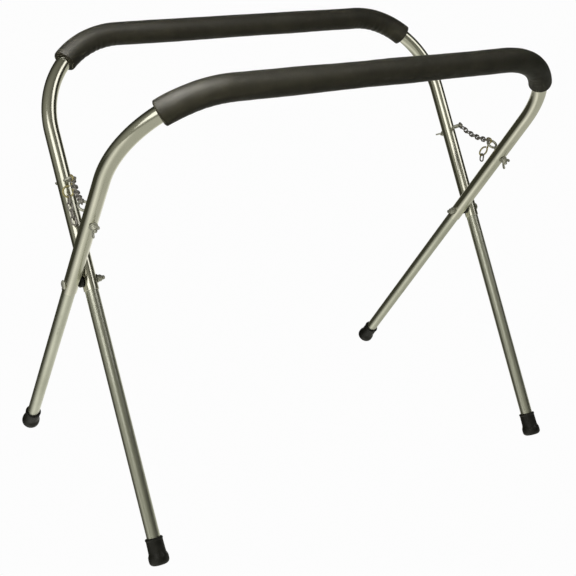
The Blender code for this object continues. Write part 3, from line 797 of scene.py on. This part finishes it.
def add_link(node, body):
    """A chain link in the place, and of the length, of a CAD link."""
    centre, (long_axis, wide_axis, _thin) = principal_axes(node)
    turn = Matrix((long_axis, wide_axis, long_axis.cross(wide_axis))).transposed().to_4x4()
    points = [vert.co for vert in frame["nodes"][node].data.vertices]
    reach = [point.dot(long_axis) for point in points]
    length = max(reach) - min(reach)
    make_piece(f"{node}_finish", lambda bm: link_body(bm, length), "chain_zinc", body, [node],
               Matrix.Translation(centre) @ turn)


def hook_path(chainwards):
    """Centre line of a hook about the eye's wire, with the ring to one side below."""
    up = Vector((0, 0, 1))
    x = Vector((1, 0, 0))
    hang = chainwards * math.sin(HOOK_TILT) - up * math.cos(HOOK_TILT)
    quarter = math.pi / 2
    far = chainwards * (HOOK_SEAT - 0.0006)
    path = arc(far, HOOK_LOOP_R, chainwards, up, math.radians(-35), quarter, 14)
    path += arc(Vector(), HOOK_LOOP_R, up, -chainwards, 0, quarter, 12)
    path += arc(Vector(), HOOK_LOOP_R, -chainwards, -up, 0, math.radians(62), 8)[1:]
    neck = [path[-1], hang * (HOOK_LOOP_R + 0.0030), hang * (HOOK_LOOP_R + 0.0052)]
    ring_start = math.radians(-25)
    centre = hang * HOOK_DROP - x * HOOK_RING_R * math.cos(ring_start)
    ring = arc(centre, HOOK_RING_R, x, hang, ring_start, math.radians(292), 44)
    return path[:-1] + smooth_path(neck + [ring[0]]) + ring[1:]


def add_hook(side, chainwards):
    def build(bm):
        add_rings(bm, sweep(hook_path(chainwards), HOOK_WIRE_R, 18))

    eye_wire = JOINTS[f"{side}_hook_swing"]["pos_m"]
    make_piece(f"{side}_hook_finish", build, "brass", f"{side}_hook", [f"{side}_hook"],
               Matrix.Translation(eye_wire))


# ---------------------------------------------------------------- studio
def by_ray(nodes, shader, seen, mirrored, lighting):
    """Gives the surface one colour to the camera, one to reflections, one as a light."""
    path = nodes.tree.nodes.new("ShaderNodeLightPath")
    others = nodes.mix(path.outputs["Is Glossy Ray"], lighting, mirrored)
    colour = nodes.mix(path.outputs["Is Camera Ray"], others, seen)
    nodes.link(colour, shader.inputs["Color"])


def floor_material():
    """White to the camera; in reflections, pale paper darkening to the left and behind."""
    nodes = Nodes("floor_white")
    towards_eye = nodes.tree.nodes.new("ShaderNodeNewGeometry").outputs["Incoming"]
    left_behind = nodes.dot(towards_eye, (0.50, -0.85, 0))
    brighter = nodes.remap(left_behind, -0.15, 0.20, 0, 1)
    paper = nodes.mix(brighter, (0.46, 0.46, 0.39), (0.90, 0.89, 0.79))
    darker = nodes.remap(left_behind, 0.25, 0.78, 0, 1)
    mirrored = nodes.mix(darker, paper, (0.045, 0.045, 0.030))
    glow = nodes.tree.nodes.new("ShaderNodeEmission")
    by_ray(nodes, glow, (0.98, 0.98, 0.98), mirrored, (0.04, 0.04, 0.03))
    nodes.link(glow.outputs[0], nodes.tree.nodes["Material Output"].inputs["Surface"])
    return nodes.material


def add_floor():
    bm = bmesh.new()
    bmesh.ops.create_grid(bm, x_segments=1, y_segments=1, size=FLOOR_HALF)
    mesh = bpy.data.meshes.new("floor")
    bm.to_mesh(mesh)
    bm.free()
    mesh.materials.append(floor_material())
    floor = bpy.data.objects.new("floor", mesh)
    floor.location = (0, 0, -FLOOR_DROP)
    bpy.context.collection.objects.link(floor)


def add_world():
    """A white room that reflections see as grey on the strip's side and dark beyond."""
    world = bpy.data.worlds.new("studio")
    bpy.context.scene.world = world
    world.use_nodes = True
    nodes = Graph(world.node_tree)
    direction = nodes.tree.nodes.new("ShaderNodeTexCoord").outputs["Generated"]
    facing = nodes.dot(direction, STRIP_BEARING + Vector((0, 0, 0.25)))
    near_strip = nodes.remap(facing, 0.0, 0.8, 0, 1)
    mirrored = nodes.mix(near_strip, (0.035, 0.035, 0.025), (0.25, 0.25, 0.20))
    height = nodes.remap(nodes.dot(direction, (0, 0, 1)), -0.1, 0.9, 0, 1)
    lighting = nodes.mix(height, (0.012, 0.012, 0.010), (0.10, 0.10, 0.09))
    by_ray(nodes, nodes.tree.nodes["Background"], (0.985, 0.985, 0.98), mirrored, lighting)


def add_area_light(name, location, size, power, lights, only_on=None):
    """A softbox aimed at the stand. It gives matte light, glossy reflections or all."""
    data = bpy.data.lights.new(name, "AREA")
    data.shape = "RECTANGLE"
    data.size, data.size_y = size
    data.energy = power
    data.color = LIGHT_COLOUR
    light = bpy.data.objects.new(name, data)
    light.location = location
    light.rotation_mode = "QUATERNION"
    light.rotation_quaternion = (LIGHT_AIM - light.location).to_track_quat("-Z", "Y")
    light.visible_camera = False
    light.visible_glossy = lights != "matte"
    light.visible_diffuse = lights != "glossy"
    light.light_linking.receiver_collection = only_on
    bpy.context.collection.objects.link(light)


def add_camera():
    sin_a, cos_a = math.sin(VIEW_AZIMUTH), math.cos(VIEW_AZIMUTH)
    sin_e, cos_e = math.sin(VIEW_ELEVATION), math.cos(VIEW_ELEVATION)
    back = Vector((sin_a * cos_e, -cos_a * cos_e, sin_e))
    right = (-back).cross(Vector((0, 0, 1))).normalized()
    up = right.cross(-back)
    rolled_right = right * math.cos(VIEW_ROLL) + up * math.sin(VIEW_ROLL)
    rolled_up = up * math.cos(VIEW_ROLL) - right * math.sin(VIEW_ROLL)
    data = bpy.data.cameras.new("camera")
    data.lens = VIEW_LENS
    data.sensor_width = 36
    data.shift_x, data.shift_y = VIEW_SHIFT
    camera = bpy.data.objects.new("camera", data)
    turn = Matrix((rolled_right, rolled_up, back)).transposed().to_4x4()
    camera.matrix_world = Matrix.Translation(VIEW_TARGET + back * VIEW_DISTANCE) @ turn
    bpy.context.collection.objects.link(camera)
    bpy.context.scene.camera = camera


# ---------------------------------------------------------------- the whole scene
foam_pads = bpy.data.collections.new("foam_pads")
for prefix, seed in (("front", 3.7), ("rear", 11.2)):
    add_upper_tube(prefix)
    foam_pads.objects.link(add_pad(prefix, seed))
    for side, leg_x in zip(LEG_SIDES[prefix], (OUTBOARD_X, INBOARD_X)):
        add_lower_leg(prefix, side, leg_x)
        add_foot(prefix, side, leg_x)
        add_eye_bolt(prefix, side, leg_x)
        add_wing_nut(prefix, side)
add_pivot_hardware("left", "front")
add_pivot_hardware("right", "rear")
add_hook("left", Vector((0, -1, 0)))
add_hook("right", Vector((0, 1, 0)))
for body, nodes in frame["record"]["behaviour"]["bodies"].items():
    for node in nodes:
        if "link" in node:
            add_link(node, body)

add_floor()
add_world()
add_camera()
add_area_light("key", (-1.6, -0.9, 1.5), (0.5, 0.5), 50, "matte")
add_area_light("foam_sheen", (-0.8, -0.4, 2.3), (2.2, 0.8), 200, "glossy", foam_pads)
add_area_light("fill", (2.2, -1.9, 3.2), (1.8, 1.8), 14, "all")
add_area_light("top", (0.1, 0.4, 3.2), (2.2, 2.2), 10, "matte")
strip_place = STRIP_BEARING * STRIP_DISTANCE + Vector((0, 0, STRIP_HEIGHT))
add_area_light("strip", strip_place, (2.1, 1.7), 14, "all")
bpy.context.scene.view_settings.view_transform = "Standard"
